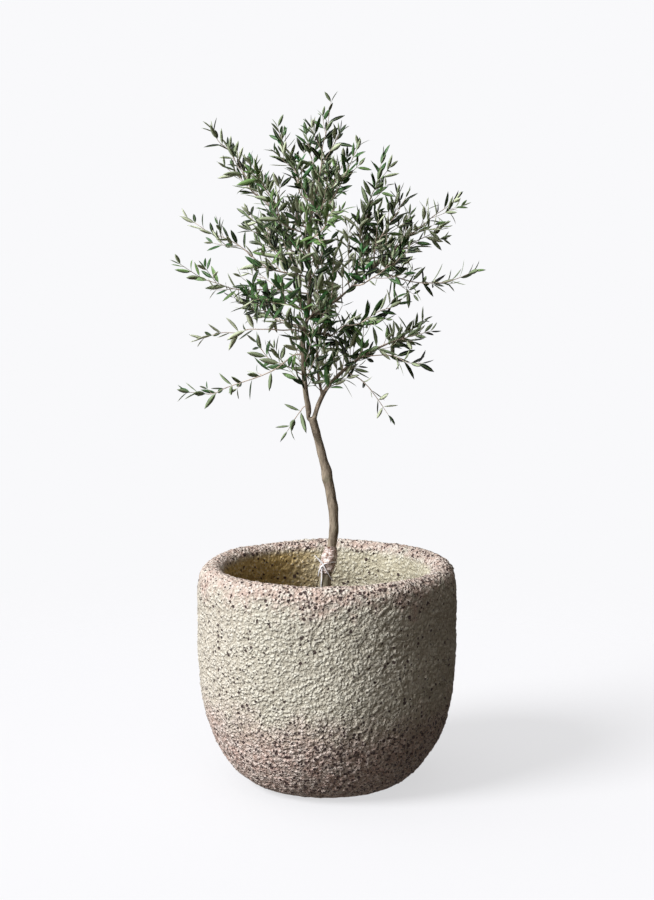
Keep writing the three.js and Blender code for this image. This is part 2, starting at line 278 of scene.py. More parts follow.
def new_material(name, roughness, colour="808080", ior=1.5):
    """A Principled material and its node tree."""
    material = bpy.data.materials.new(name)
    material.use_nodes = True
    shader = material.node_tree.nodes["Principled BSDF"]
    shader.inputs["Base Color"].default_value = as_colour(colour)
    shader.inputs["Roughness"].default_value = roughness
    shader.inputs["IOR"].default_value = ior
    return material, material.node_tree


def dress_shader(tree, colour, relief=None):
    """Gives a material's shader its colour and, as bump, a relief in millimetres."""
    shader = tree.nodes["Principled BSDF"]
    tree.links.new(colour, shader.inputs["Base Color"])
    if relief:
        normal = add_node(tree, "Bump", {"Height": relief, "Distance": MM})
        tree.links.new(normal, shader.inputs["Normal"])


# ---------------------------------------------------------------------- materials


def stoneware_material(settings):
    """Coarse groggy stoneware: pale rubbed slip over bare pink-brown clay, full of pits."""
    material, tree = new_material("pitted_stoneware", 0.93)
    position = add_node(tree, "TexCoord", output="Object")
    x, _, z = add_node(tree, "SeparateXYZ", {0: position}).node.outputs
    relief = add_node(tree, "Attribute", output="Fac", attribute_name="relief")
    inside = add_node(tree, "Attribute", output="Fac", attribute_name="inside")

    broad = add_node(tree, "TexNoise", at_size(position, 75, Detail=3, Roughness=0.55))
    patchy = add_node(tree, "TexNoise", at_size(position, 18, Detail=4, Roughness=0.65))
    grain = add_node(tree, "TexNoise", at_size(position, 3.6, Detail=2, Roughness=0.6))
    # A warp of up to 2.6 mm, so that pebbles and pits aren't quite round.
    warp = add_node(tree, "TexNoise", at_size(position, 4, Detail=2, Roughness=0.5), "Color")
    bend = {0: warp, 1: (2.6 * MM, 2.6 * MM, 2.6 * MM), 2: position}
    warped = add_node(tree, "VectorMath", bend, operation="MULTIPLY_ADD")

    # Bare clay shows at the foot and, thinner, round the rim. The slip is pinker on the left.
    clay = mask(tree, 0.180, 0.100, z, (broad, 0.12), (patchy, 0.10))
    rim = mask(tree, 0.325, 0.375, z, (broad, 0.12), (patchy, 0.10))
    left = mask(tree, -0.08, -0.20, x, (broad, 0.10))
    # The stain inside on the left is partly a brown stain and partly painted warm shade on that wall.
    stain_and_shade = mask(tree, 0.02, -0.09, x, (broad, 0.08))
    bare = add_node(tree, "Math", {0: clay, 1: total(tree, (rim, 0.80))}, operation="MAXIMUM")
    bare = total(tree, (bare, total(tree, (inside, -1.0), start=1.0)))

    # Pebbles of grog pushed up through the slip, with creases between them.
    pebble = mask(tree, 0.72, 0.12, add_node(tree, "TexVoronoi", at_size(warped, 6.2)))

    # Pits of two sizes, thicker where the clay is bare, most of all on the right.
    thicker = total(tree, (mask(tree, -0.14, 0.02, x), 0.38), start=0.36)
    share = total(tree, (bare, thicker), (left, 0.10), (broad, 0.5), start=-0.13)
    large = pits(tree, warped, 8.0, 0.45, share)
    small = pits(tree, warped, 5.0, 0.47, share)
    pitted = add_node(tree, "Math", {0: large, 1: small}, operation="MAXIMUM")

    # Creases hold dirt and painted shade, and the raised grains are rubbed pale.
    height = total(tree, (pebble, 0.6), (grain, 0.8))
    crease_dirt_and_shade = mask(tree, 0.70, 0.30, total(tree, (relief, 0.25), start=height))
    raised = mask(tree, 0.72, 1.00, height)
    clay_colour = paint(tree, tuple(settings.clay), (mask(tree, 0.36, 0.62, patchy), 1, "d3b6ac"))
    inner = paint(tree, "dfdac6", (patchy, 1, "c6bfa4"), (stain_and_shade, 0.82, tuple(settings.stain_and_shade)))
    colour = paint(
        tree, tuple(settings.slip),
        (patchy, 1, "d2cdbc"), (left, 0.25, "e2d2c8"), (bare, 1, clay_colour), (inside, 1, inner),
        (crease_dirt_and_shade, 0.36, "76674e"), (raised, 0.45, "f0ede3"), (pitted, 0.92, tuple(settings.pit)),
    )

    # Pebbles up to 2.6 mm high, grain that varies by 2 to 3 mm, and pits 3 mm deep, calmer inside.
    surface = total(tree, (pebble, 2.6), (grain, 5.0), (pitted, -3.0))
    calm = total(tree, (inside, -0.35), start=1.0)
    dress_shader(tree, colour, total(tree, (surface, calm)))
    return material


def soil_material(settings):
    """Moist potting soil: dark peat with paler fibres and a few grits."""
    material, tree = new_material("potting_soil", 0.96)
    position = add_node(tree, "TexCoord", output="Object")
    lumps = add_node(tree, "TexNoise", at_size(position, 8, Detail=4, Roughness=0.6))
    crumb = add_node(tree, "TexNoise", at_size(position, 3, Detail=4, Roughness=0.7))
    grit = pits(tree, position, 6, 0.22, 0.12)
    fibrous = mask(tree, 0.35, 0.65, lumps)
    layers = [(fibrous, 1, tuple(settings.fibres)), (grit, 0.7, "94897a")]
    dress_shader(tree, paint(tree, tuple(settings.peat), *layers), total(tree, (crumb, 2.0)))
    return material


def bark_material(settings):
    """Smooth young olive bark: grey-brown with greenish and pale patches, and painted shade darkening
    it up the boughs.
    """
    material, tree = new_material("olive_bark", 0.82)
    position = add_node(tree, "TexCoord", output="Object")
    height = add_node(tree, "SeparateXYZ", {0: position}, "Z")
    drawn = add_node(tree, "Mapping", {"Vector": position, "Scale": (1, 1, 0.3)})
    streaks = add_node(tree, "TexNoise", at_size(drawn, 5, Detail=5, Roughness=0.65))
    patches = add_node(tree, "TexNoise", at_size(position, 22, Detail=3, Roughness=0.55))
    fine = add_node(tree, "TexNoise", at_size(drawn, 1.6, Detail=4, Roughness=0.6))
    dots = pits(tree, drawn, 3.5, 0.24, 0.30)
    colour = paint(
        tree, tuple(settings.furrow),
        (mask(tree, 0.30, 0.70, streaks), 1, tuple(settings.ridge)),
        (mask(tree, 0.50, 0.70, patches), 0.5, "84836b"),
        # Painted shade: the boughs darken with height, where they run in under the crown.
        (mask(tree, 0.62, 0.80, height), 0.55, "4d3f33"),
        (dots, 0.55, "b8ab98"),
    )
    dress_shader(tree, colour, total(tree, (streaks, 0.5), (fine, 0.35), (dots, 0.15)))
    return material


def shoot_material(settings):
    """Young olive shoots: felted grey-beige, browner in patches."""
    material, tree = new_material("young_shoots", 0.75)
    position = add_node(tree, "TexCoord", output="Object")
    patches = add_node(tree, "TexNoise", at_size(position, 18, Detail=3, Roughness=0.55))
    fine = add_node(tree, "TexNoise", at_size(position, 1.5, Detail=3, Roughness=0.55))
    felted = (mask(tree, 0.38, 0.62, patches), 1, tuple(settings.felt))
    dress_shader(tree, paint(tree, tuple(settings.shoot), felted), total(tree, (fine, 0.25)))
    return material


def tape_material(settings):
    """Thin stretched grafting film, milky and a little pink where the bark shows through."""
    material, tree = new_material("grafting_film", 0.38)
    position = add_node(tree, "TexCoord", output="Object")
    slant = {"Vector": position, "Rotation": (0, math.radians(38), 0), "Scale": (0.25, 0.5, 1)}
    drawn = add_node(tree, "Mapping", slant)
    cloud = add_node(tree, "TexNoise", at_size(position, 6, Detail=3, Roughness=0.6))
    streaks = add_node(tree, "TexNoise", at_size(drawn, 2.2, Detail=4, Roughness=0.6))
    thick = mask(tree, 0.42, 0.56, total(tree, (cloud, 0.5), (streaks, 0.5)))
    colour = paint(tree, tuple(settings.thin), (thick, 1, tuple(settings.milky)))
    dress_shader(tree, colour, total(tree, (streaks, 1.6)))
    return material


def tie_material():
    """White plastic tie."""
    material, tree = new_material("white_tie", 0.42)
    position = add_node(tree, "TexCoord", output="Object")
    cloud = add_node(tree, "TexNoise", at_size(position, 4, Detail=2, Roughness=0.55))
    dress_shader(tree, paint(tree, "d9d8de", (cloud, 1, "f3f2f4")))
    return material


# The settings with the colours of upper sides, the share of sprays that has each, and the
# settings with the colours of undersides.
LEAF_UPPERS = ["upper_1", "upper_2", "upper_3", "upper_4", "upper_5"]
LEAF_SHARES = [29, 24, 21, 17, 9]
LEAF_UNDERS = ["under_1", "under_2", "under_3"]
WAX_IOR = 1.42


def leaf_materials(settings):
    """Plain leaf finishes: waxy upper sides, then felted undersides, then the midrib."""
    kinds = [("olive_leaf_upper", 0.40, LEAF_UPPERS), ("olive_leaf_underside", 0.72, LEAF_UNDERS)]
    made = []
    for name, roughness, keys in kinds:
        for number, key in enumerate(keys, 1):
            colour = tuple(getattr(settings, key))
            made.append(new_material(f"{name}_{number}", roughness, colour, WAX_IOR)[0])
    return made + [new_material("olive_leaf_midrib", 0.5, tuple(settings.midrib), WAX_IOR)[0]]


# ------------------------------------------------------------------------- shapes


def cad_copy(node):
    """A copy of a CAD node with its loose triangles joined. The caller frees it."""
    bm = bmesh.new()
    bm.from_mesh(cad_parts[node].data)
    bmesh.ops.remove_doubles(bm, verts=bm.verts, dist=MERGE)
    return bm


def finish_piece(name, mesh, materials, nodes):
    """Makes an object of a mesh that stands for CAD nodes and rides on the plant."""
    mesh.name = name
    for material in materials:
        mesh.materials.append(material)
    mesh.polygons.foreach_set("use_smooth", [True] * len(mesh.polygons))
    piece = bpy.data.objects.new(name, mesh)
    bpy.context.scene.collection.objects.link(piece)
    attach(piece, "root")
    if nodes:
        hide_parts(*nodes)
    return piece


def to_mesh(bm, name):
    """The mesh of a bmesh, which is freed."""
    mesh = bpy.data.meshes.new(name)
    bm.to_mesh(mesh)
    bm.free()
    return mesh


def evaluated_mesh(piece):
    """A mesh of an object with its modifiers or bevel applied. The object is removed."""
    bpy.context.view_layer.update()
    graph = bpy.context.evaluated_depsgraph_get()
    mesh = bpy.data.meshes.new_from_object(piece.evaluated_get(graph), depsgraph=graph)
    bpy.data.objects.remove(piece)
    return mesh


def smooth_line(points, step):
    """Points about step apart on a smooth line through the given ones, which may carry a radius."""
    points = [np.array(p, float) for p in points]
    gaps = [np.linalg.norm(b - a) for a, b in zip(points, points[1:])]
    slopes = [(b - a) / gap for a, b, gap in zip(points, points[1:], gaps)]
    tangents = [slopes[0]]
    for i in range(1, len(slopes)):
        share = gaps[i - 1] / (gaps[i - 1] + gaps[i])
        tangents.append(slopes[i - 1] * (1 - share) + slopes[i] * share)
    tangents.append(slopes[-1])
    line = []
    for i, gap in enumerate(gaps):
        count = max(1, round(gap / step))
        for u in np.arange(count) / count:
            start = (1 + 2 * u) * (1 - u) ** 2 * points[i] + u * (1 - u) ** 2 * gap * tangents[i]
            end = u * u * (3 - 2 * u) * points[i + 1] - u * u * (1 - u) * gap * tangents[i + 1]
            line.append(start + end)
    line.append(points[-1])
    return line


def new_curve(name, thickness, rounding):
    """An empty 3-D curve with a round section and closed ends."""
    curve = bpy.data.curves.new(name, "CURVE")
    curve.dimensions = "3D"
    curve.bevel_depth = thickness
    curve.bevel_resolution = rounding
    curve.use_fill_caps = True
    return curve


def curve_mesh(curve):
    """The mesh of a finished curve."""
    piece = bpy.data.objects.new(curve.name, curve)
    bpy.context.scene.collection.objects.link(piece)
    return evaluated_mesh(piece)


def curve_tube(name, lines, sides):
    """One mesh of round tubes along lines of (x, y, z, radius) points."""
    curve = new_curve(name, 1.0, sides // 2 - 2)
    for line in lines:
        spline = curve.splines.new("POLY")
        spline.points.add(len(line) - 1)
        spline.points.foreach_set("co", [c for p in line for c in (p[0], p[1], p[2], 1.0)])
        spline.points.foreach_set("radius", [p[3] for p in line])
    return curve_mesh(curve)


def far_ends(bm, near):
    """The two ends of a long solid, the one nearer to a point first."""
    middle = sum((v.co for v in bm.verts), Vector()) / len(bm.verts)
    one = max(bm.verts, key=lambda v: (v.co - middle).length).co.copy()
    other = max(bm.verts, key=lambda v: (v.co - one).length).co.copy()
    return sorted([one, other], key=lambda p: (p - near).length)


def slices(bm, start, end, spacing):
    """Centre and mean radius, as (x, y, z, radius), of cuts square to the line from start to end."""
    axis = (end - start).normalized()
    length = (end - start).length
    count = max(2, round(length / spacing))
    found = []
    for i in range(count):
        level = length * (i + 0.5) / count
        points = []
        for edge in bm.edges:
            a, b = edge.verts[0].co, edge.verts[1].co
            below, above = (a - start).dot(axis) - level, (b - start).dot(axis) - level
            if below * above < 0:
                points.append(a.lerp(b, below / (below - above)))
        if len(points) > 2:
            centre = sum(points, Vector()) / len(points)
            radius = sum((p - centre).length for p in points) / len(points)
            found.append(np.array([*centre, radius]))
    return found


def rise(value, low, high):
    """0 up to low, 1 from high, and straight between them."""
    return min(max((value - low) / (high - low), 0.0), 1.0)


def point_of(row):
    """The place of an (x, y, z, radius) point."""
    return Vector(row[:3])


def nearest_on(lines, place):
    """The line and index of the skeleton point nearest to a place."""
    pairs = [(name, i) for name, line in lines.items() for i in range(len(line))]
    return min(pairs, key=lambda pair: (point_of(lines[pair[0]][pair[1]]) - place).length)


# ------------------------------------------------------------------------- the pot


# Heights on the pot. The relief grows from nothing at the flat foot to full at FOOT_TOP.
FOOT_TOP = 0.012
# The clay is bare below this, and its knobs of grog aren't rubbed down with slip.
CLAY_TOP = 0.15
# The well is plain below the first and has its full relief from the second, still under soil.
WELL_PLAIN = 0.20
WELL_HIDDEN = 0.25
# The lip's unevenness starts here.
LIP_START = 0.30
# Mesh rows under the foot and in the hidden well.
FOOT_ROW = 0.014
WELL_ROW = 0.016


def spin_outline(outline, steps):
    """A closed body turned from (radius, height) points that start and end on the axis."""
    bm = bmesh.new()
    verts = [bm.verts.new((max(r, 0.0), 0, max(z, 0.0))) for r, z in outline]
    edges = [bm.edges.new(pair) for pair in zip(verts, verts[1:])]
    bmesh.ops.spin(
        bm, geom=verts + edges, cent=(0, 0, 0), axis=UP, angle=TURN, steps=steps, use_merge=True
    )
    bmesh.ops.remove_doubles(bm, verts=bm.verts, dist=MERGE)
    return bm


def pot_profile(row):
    """The pot's outline as (radius, height) points from the foot's centre round to the well's."""
    bm = cad_copy("pot")
    edges = [e for e in bm.edges if all(abs(v.co.y) < MERGE and v.co.x > -MERGE for v in e.verts)]
    vert = min((v for e in edges for v in e.verts), key=lambda v: (v.co.x, v.co.z))
    outline, used = [vert.co.copy()], set()
    while True:
        following = [e for e in edges if vert in e.verts and e not in used]
        if not following:
            break
        used.add(following[0])
        vert = following[0].other_vert(vert)
        outline.append(vert.co.copy())
    bm.free()
    outline = [(p.x, p.z) for p in outline]
    highest = max(range(len(outline)), key=lambda i: outline[i][1])
    shown_to = next(i for i in range(highest, len(outline)) if outline[i][1] < WELL_HIDDEN)
    under = smooth_line(outline[:2], FOOT_ROW)[:-1]
    shown = smooth_line(outline[1 : shown_to + 1], row)
    hidden = smooth_line(outline[shown_to:], WELL_ROW)[1:]
    return under + shown + hidden, outline[highest][1]


def stoneware_relief(place, settings):
    """Height of the clay's surface over the plain wall, in metres, and its fine part alone."""
    rough = 0.75 + 0.5 * noise.noise(place / (55 * MM))
    lumps = noise.fractal(place / settings.grain, 0.7, 2.1, 3)
    knobs = 0.5 - min(noise.voronoi(place / (11 * MM))[0][0] * 1.6, 1.0)
    rubbed = 1.0 if place.z < CLAY_TOP else 0.65
    fine = settings.relief * rough * (lumps * 0.9 + knobs * 0.8 * rubbed)
    broad = noise.noise(place / (110 * MM)) + 0.35 * noise.noise(place / (35 * MM))
    return fine + settings.unevenness * broad, fine


def rim_wave(place, settings):
    """How far the hand-made rim stands above or below an even one."""
    wave = 1.6 * MM * noise.noise(Vector((place.x, place.y, 0.7)) / (70 * MM))
    return wave + settings.front_rise * max(0.0, -place.y / math.hypot(place.x, place.y)) ** 2


class PLANT_OT_pot(bpy.types.Operator):
    """Spins the pot from the CAD's outline and gives its wall the relief of coarse clay."""

    bl_idname = "plant.pot"
    bl_label = "Pot"

    def execute(self, context):
        settings = context.scene.olive_pot
        profile, top = pot_profile(settings.row)
        if top < LIP_START:
            raise RuntimeError("the pot's outline wasn't found")
        bm = spin_outline(profile, settings.steps)
        bmesh.ops.recalc_face_normals(bm, faces=bm.faces)
        bm.normal_update()
        fines, insides = [], []
        for vert in bm.verts:
            place = vert.co.copy()
            within = vert.normal.x * place.x + vert.normal.y * place.y < 0
            height, fine = stoneware_relief(place, settings)
            free = rise(place.z, 0, FOOT_TOP)
            if within:
                height, fine = height * 0.8, fine * 0.8
                free = rise(place.z, WELL_PLAIN, WELL_HIDDEN)
            vert.co += vert.normal * height * free
            if place.z > LIP_START:
                vert.co.z += rim_wave(place, settings) * (place.z - LIP_START) / (top - LIP_START)
            fines.append(fine / settings.relief)
            insides.append(rise(top - place.z, 10 * MM, 22 * MM) if within else 0.0)
        mesh = to_mesh(bm, "pot_stoneware")
        mesh.attributes.new("relief", "FLOAT", "POINT").data.foreach_set("value", fines)
        mesh.attributes.new("inside", "FLOAT", "POINT").data.foreach_set("value", insides)
        finish_piece("pot_stoneware", mesh, [stoneware_material(settings)], ["pot"])
        return {"FINISHED"}


# ------------------------------------------------------------------------ the soil


# The soil's surface dips this far to the wall. Only its loose top has lumps, and the piece
# reaches this deep, because the rest of the soil is hidden by the pot.
SOIL_DISH = 0.003
SOIL_LOOSE = 0.008
SOIL_DEPTH = 0.030


class PLANT_OT_soil(bpy.types.Operator):
    """Covers the CAD's soil with a crumbly surface and loose crumbs."""

    bl_idname = "plant.soil"
    bl_label = "Soil"

    def execute(self, context):
        settings = context.scene.olive_soil
        rng = random.Random(settings.seed)
        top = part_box("soil")[1].z
        loose = top - SOIL_LOOSE
        bm = cad_copy("soil")
        rim = max(math.hypot(v.co.x, v.co.y) for v in bm.verts if v.co.z > loose)
        bm.free()
        outline = [(0.0, top), (rim * 0.35, top), (rim * 0.9, top - SOIL_DISH)]
        outline += [(rim - 1 * MM, top - 2 * SOIL_DISH), (rim - 3 * MM, top - SOIL_DEPTH)]
        rows = smooth_line(outline, 3.5 * MM) + [np.array([0.0, top - SOIL_DEPTH])]
        bm = spin_outline(rows, 200)
        for vert in bm.verts:
            if vert.co.z > loose:
                lumps = noise.fractal(vert.co / (12 * MM), 0.8, 2.2, 4)
                swell = noise.noise(vert.co / (50 * MM))
                vert.co.z += settings.relief * (0.45 * lumps + 0.4 * swell)
        for _ in range(settings.crumbs):
            out, turn = rim * 0.97 * math.sqrt(rng.random()), rng.uniform(0, TURN)
            size = rng.uniform(1.2, 4.2) * MM * rng.uniform(0.5, 1)
            sunk = 1 * MM + SOIL_DISH * (out / rim) ** 2
            place = Vector((out * math.cos(turn), out * math.sin(turn), top - sunk))
            shape = Matrix.Diagonal((1, rng.uniform(0.6, 1), rng.uniform(0.5, 0.9), 1))
            axis = [rng.gauss(0, 1) for _ in range(3)]
            spin = Quaternion(axis, rng.uniform(0, TURN)).to_matrix().to_4x4()
            matrix = Matrix.Translation(place) @ spin @ shape
            bmesh.ops.create_icosphere(bm, subdivisions=1, radius=size, matrix=matrix)
        bmesh.ops.recalc_face_normals(bm, faces=bm.faces)
        mesh = to_mesh(bm, "soil_surface")
        finish_piece("soil_surface", mesh, [soil_material(settings)], ["soil"])
        return {"FINISHED"}


# ----------------------------------------------------------------------- the limbs


# Distance between the points of a limb or shoot.
LINE_STEP = 0.004
# Share of its radius that a bough keeps in each mass that it runs through.
BOUGH_TAPER = 0.86
# How often the boughs' routes and the bark are smoothed.
SMOOTHINGS = 8


def upright_slices(node, spacing):
    """Level cuts of a CAD node, from its foot to its top, as (x, y, z, radius) points."""
    low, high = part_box(node)
    bm = cad_copy(node)
    rows = slices(bm, Vector((0, 0, low.z)), Vector((0, 0, high.z)), spacing)
    bm.free()
    return rows


def limb_skeleton():
    """Centre lines with radii of the trunk and boughs, the boughs running on into the crown."""
    lines = {"trunk": smooth_line(upright_slices("trunk", 0.007), LINE_STEP)}
    for bough, masses in BOUGHS.items():
        bm = cad_copy(bough)
        near = point_of(lines["trunk"][-1]) if bough != "high_bough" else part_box(bough)[0]
        root, tip = far_ends(bm, near)
        rows = slices(bm, root, tip, 0.012)
        bm.free()
        name, index = nearest_on(lines, point_of(rows[0]))
        foot = lines[name][max(index - 2, 0)].copy()
        foot[3] = min(foot[3] * 0.8, rows[0][3] * 1.1)
        reach = point_of(rows[-1])
        radius = rows[-1][3]
        cad_rows = len(rows)
        for number, mass in enumerate(masses):
            bm = cad_copy(mass)
            start, end = far_ends(bm, reach)
            last = number == len(masses) - 1
            inner = slices(bm, start, end, 0.03)
            bm.free()
            radius *= BOUGH_TAPER
            for row in inner[: 1 if last else len(inner)]:
                if (point_of(row) - reach).length > 0.02:
                    rows.append(np.array([*row[:3], radius]))
                    reach = point_of(row)
        for _ in range(SMOOTHINGS):
            for i in range(cad_rows - 1, len(rows) - 1):
                rows[i] = (rows[i - 1] + 2 * rows[i] + rows[i + 1]) / 4
        lines[bough] = smooth_line([foot] + rows, LINE_STEP)
    return lines


class PLANT_OT_limbs(bpy.types.Operator):
    """Joins the trunk and boughs into one branching body with bark relief."""

    bl_idname = "plant.limbs"
    bl_label = "Trunk and Boughs"

    def execute(self, context):
        settings = context.scene.olive_limbs
        lines = limb_skeleton()
        foot = lines["trunk"][0].copy()
        foot[2] -= settings.sink
        fork = lines["trunk"][-1][2]
        limbs = [[foot] + lines["trunk"]] + [lines[bough] for bough in BOUGHS]
        tubes = curve_tube("limb_tubes", limbs, 12)
        body = bpy.data.objects.new("limb_body", tubes)
        context.scene.collection.objects.link(body)
        remesh = body.modifiers.new("even", "REMESH")
        remesh.mode = "VOXEL"
        remesh.voxel_size = settings.voxel
        smooth = body.modifiers.new("soften", "SMOOTH")
        smooth.iterations = 5
        smooth.factor = 0.5
        rough = evaluated_mesh(body)
        if not rough.vertices:
            raise RuntimeError("the limbs didn't remesh")
        cad = cad_copy("trunk")
        surface = BVHTree.FromBMesh(cad)
        cad.free()
        bm = bmesh.new()
        bm.from_mesh(rough)
        for vert in bm.verts:
            # The trunk above the soil is drawn to the CAD's, short of the fork.
            if foot[2] + settings.sink < vert.co.z < fork - 0.02:
                vert.co = vert.co.lerp(surface.find_nearest(vert.co)[0], 0.85)
        for _ in range(SMOOTHINGS):
            bmesh.ops.smooth_vert(
                bm, verts=bm.verts, factor=0.5, use_axis_x=True, use_axis_y=True, use_axis_z=True
            )
        bm.normal_update()
        for vert in bm.verts:
            drawn = Vector((vert.co.x, vert.co.y, vert.co.z * 0.28))
            thick = 1.0 if vert.co.z < fork else 0.55
            fine = noise.fractal(drawn / (4.5 * MM), 0.8, 2.1, 3)
            swell = noise.noise(vert.co / (17 * MM))
            vert.co += vert.normal * (settings.wrinkle * fine + settings.lump * swell) * thick
        bmesh.ops.recalc_face_normals(bm, faces=bm.faces)
        mesh = to_mesh(bm, "bark")
        nodes = ["trunk", *BOUGHS]
        finish_piece("trunk_and_boughs", mesh, [bark_material(settings)], nodes)
        return {"FINISHED"}


# ------------------------------------------------------------------- grafting tape


# Routes of the tie's loose ends and, last, its turn over the film. In millimetres from the
# middle of the soil's surface: to the right, towards the front and up.
TIE_ROUTES = [
    [(-6, 15, 95), (-10, 14, 99), (-15, 11, 104), (-21, 8, 110)],
    [(-6, 15, 95), (-10, 15, 91), (-13, 14, 85), (-15, 12, 74)],
    [(-6, 16, 94), (-3, 17, 88), (3, 17, 78), (9, 14, 68)],
    [(-8, 14, 91), (-9, 14, 82), (-9, 13, 73), (-10, 12, 60), (-10, 10, 44)],
    [(16, 5, 98), (10, 13, 99), (3, 16, 99), (-6, 15, 95)],
]


class PLANT_OT_tape(bpy.types.Operator):
    """Winds grafting film round the trunk and leaves the ends of its tie hanging."""

    bl_idname = "plant.tape"
    bl_label = "Grafting Tape"

    def execute(self, context):
        settings = context.scene.olive_tape
        low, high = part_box("graft_tape")
        step = 1 * MM
        core = smooth_line(upright_slices("graft_tape", 6 * MM), step)
        bm = bmesh.new()
        bmesh.ops.create_grid(bm, x_segments=320, y_segments=8, size=0.5)
        foot = low.z + settings.lift + settings.width / 2
        climb = high.z - low.z - settings.width
        for vert in bm.verts:
            along, across = vert.co.x + 0.5, vert.co.y
            turn = along * settings.turns * TURN
            ahead = Vector((math.cos(turn), math.sin(turn), 0))
            height = foot + climb * along + across * settings.width
            x, y, _, radius = core[int(min(max((height - core[0][2]) / step, 0), len(core) - 1))]
            crease = noise.noise(Vector((along * 60, across * 3, 2.0)))
            fold = noise.noise(ahead * 1.7 + UP * height / (9 * MM))
            # Several turns lie over each other in the middle, and the film thins to its ends.
            ends = max(0.0, abs(along - 0.5) - 0.30) / 0.20
            laid = 2.2 - 3.4 * ends + 0.9 * math.cos(across * math.pi)
            out = radius + (0.8 * crease + 2.2 * fold + laid) * MM
            vert.co = Vector((x, y, height)) + ahead * out
        bmesh.ops.solidify(bm, geom=bm.faces, thickness=settings.film)
        bmesh.ops.recalc_face_normals(bm, faces=bm.faces)
        film = to_mesh(bm, "graft_film")
        finish_piece("graft_film", film, [tape_material(settings)], ["graft_tape"])

        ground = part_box("soil")[1].z
        curve = new_curve("tie", 0.45 * MM, 1)
        curve.extrude = settings.tie_width / 2
        for route in TIE_ROUTES:
            rows = [(x * MM, -y * MM, ground + z * MM) for x, y, z in route]
            line = smooth_line(rows, 2 * MM)
            spline = curve.splines.new("POLY")
            spline.points.add(len(line) - 1)
            for number, (point, row) in enumerate(zip(spline.points, line)):
                point.co = (*row, 1.0)
                point.tilt = 0.5 + 1.1 * number / len(line)
        finish_piece("graft_tie", curve_mesh(curve), [tie_material()], [])
        return {"FINISHED"}


# ----------------------------------------------------------------------- the crown


# A leaf's half-width by distance along it, both as shares: a short stalk, then a lance.
LEAF_OUTLINE = [(0.0, 0.09), (0.08, 0.12), (0.26, 0.78), (0.50, 1.0), (0.78, 0.72), (1.0, 0.04)]
# Leaf shapes: width over length, downward bend, twist in radians, and fold of the blade.
LEAF_SHAPES = [
    (0.24, 0.10, 0.10, 0.22),
    (0.26, -0.08, -0.25, 0.30),
    (0.20, 0.20, 0.35, 0.18),
    (0.25, 0.04, -0.10, 0.35),
    (0.27, 0.15, 0.20, 0.12),
    (0.20, -0.14, 0.05, 0.28),
]
RIB_HALF_WIDTH = 0.009
LEAF_THICKNESS = 0.010
LEAF_COLUMNS = 3


def leaf_mesh(shape, green, back):
    """A leaf one unit long on +Y with its upper side on +Z, as a closed thin blade."""
    width, droop, twist, fold = shape
    rows = len(LEAF_OUTLINE) - 1
    bm = bmesh.new()
    bmesh.ops.create_grid(bm, x_segments=LEAF_COLUMNS, y_segments=rows, size=0.5)
    copy = bmesh.ops.duplicate(bm, geom=bm.faces[:] + bm.edges[:] + bm.verts[:])["geom"]
    lower = {g for g in copy if isinstance(g, bmesh.types.BMVert)}
    lower_faces = [g for g in copy if isinstance(g, bmesh.types.BMFace)]
    bmesh.ops.reverse_faces(bm, faces=lower_faces)
    for face in bm.faces:
        middle = abs(face.calc_center_median().x) < 0.1
        face.material_index = len(LEAF_UPPERS) + len(LEAF_UNDERS) if middle else green
    for face in lower_faces:
        face.material_index = len(LEAF_UPPERS) + back
    for vert in bm.verts:
        row = round((vert.co.y + 0.5) * rows)
        column = round((vert.co.x + 0.5) * LEAF_COLUMNS)
        along, share = LEAF_OUTLINE[row]
        half = width / 2 * share
        rib = min(RIB_HALF_WIDTH, half * 0.5)
        across = (-half, -rib, rib, half)[column]
        lift = fold * abs(across) - droop * along * along
        if vert in lower and 0 < column < LEAF_COLUMNS and 0 < row < rows:
            lift -= LEAF_THICKNESS
        vert.co = Quaternion((0, 1, 0), twist * along) @ Vector((across, 0, 0))
        vert.co.y = along * math.sqrt(1 - 0.5 * droop * droop)
        vert.co.z += lift
    bmesh.ops.remove_doubles(bm, verts=bm.verts, dist=MERGE)
    return to_mesh(bm, "leaf")


# Sky shows through the crown here, under the high bough: lowest and highest X and Z.
SKY_GAP = (0.012, 0.085, 0.806, 0.862)
# Share of leaves that are missing.
MISSING = 0.07
# Leaves close in on the shoot by this angle towards its tip, vary by this much and never lie
# closer than the last.
TIP_CLOSING = math.radians(24)
LEAF_WOBBLE = math.radians(9)
LEAST_ANGLE = math.radians(14)
# Leaves shrink by this share from here along the shoot to its tip, and the last two are this big.
SHRINKING = 0.28
SHRINKS_FROM = 0.6
LAST_LEAF = 0.62
# A shoot is this much thicker where leaves leave it.
NODE_SWELLING = 1.25
# Length by which a twig grows at a time.
GROWTH = 0.011
# Room that a twig's tip leaves to the outside of its mass, for its last leaves.
ROOM = 0.007
# Side twigs leave a shoot up to this share of its length, between these angles.
TWIGS_TO = 0.84
TWIG_ANGLES = (math.radians(30), math.radians(52))
# How much longer than its mass is thick a side twig may grow.
TWIG_REACH = (1.9, 3.6)
# Sideways wander of a shoot at each point of its route.
WANDER = 0.0018
# Boughs carry twice as many twigs of their own below this height.
LEAFY_BELOW = 0.80


def in_gap(place):
    """Whether a place lies in front of or behind the gap under the high bough."""
    return SKY_GAP[0] < place.x < SKY_GAP[1] and SKY_GAP[2] < place.z < SKY_GAP[3]


def sideways(heading, turn):
    """The direction square to a shoot's heading at a turn round it."""
    level = heading.cross(UP if abs(heading.z) < 0.97 else Vector((1, 0, 0))).normalized()
    return Quaternion(heading, turn) @ level


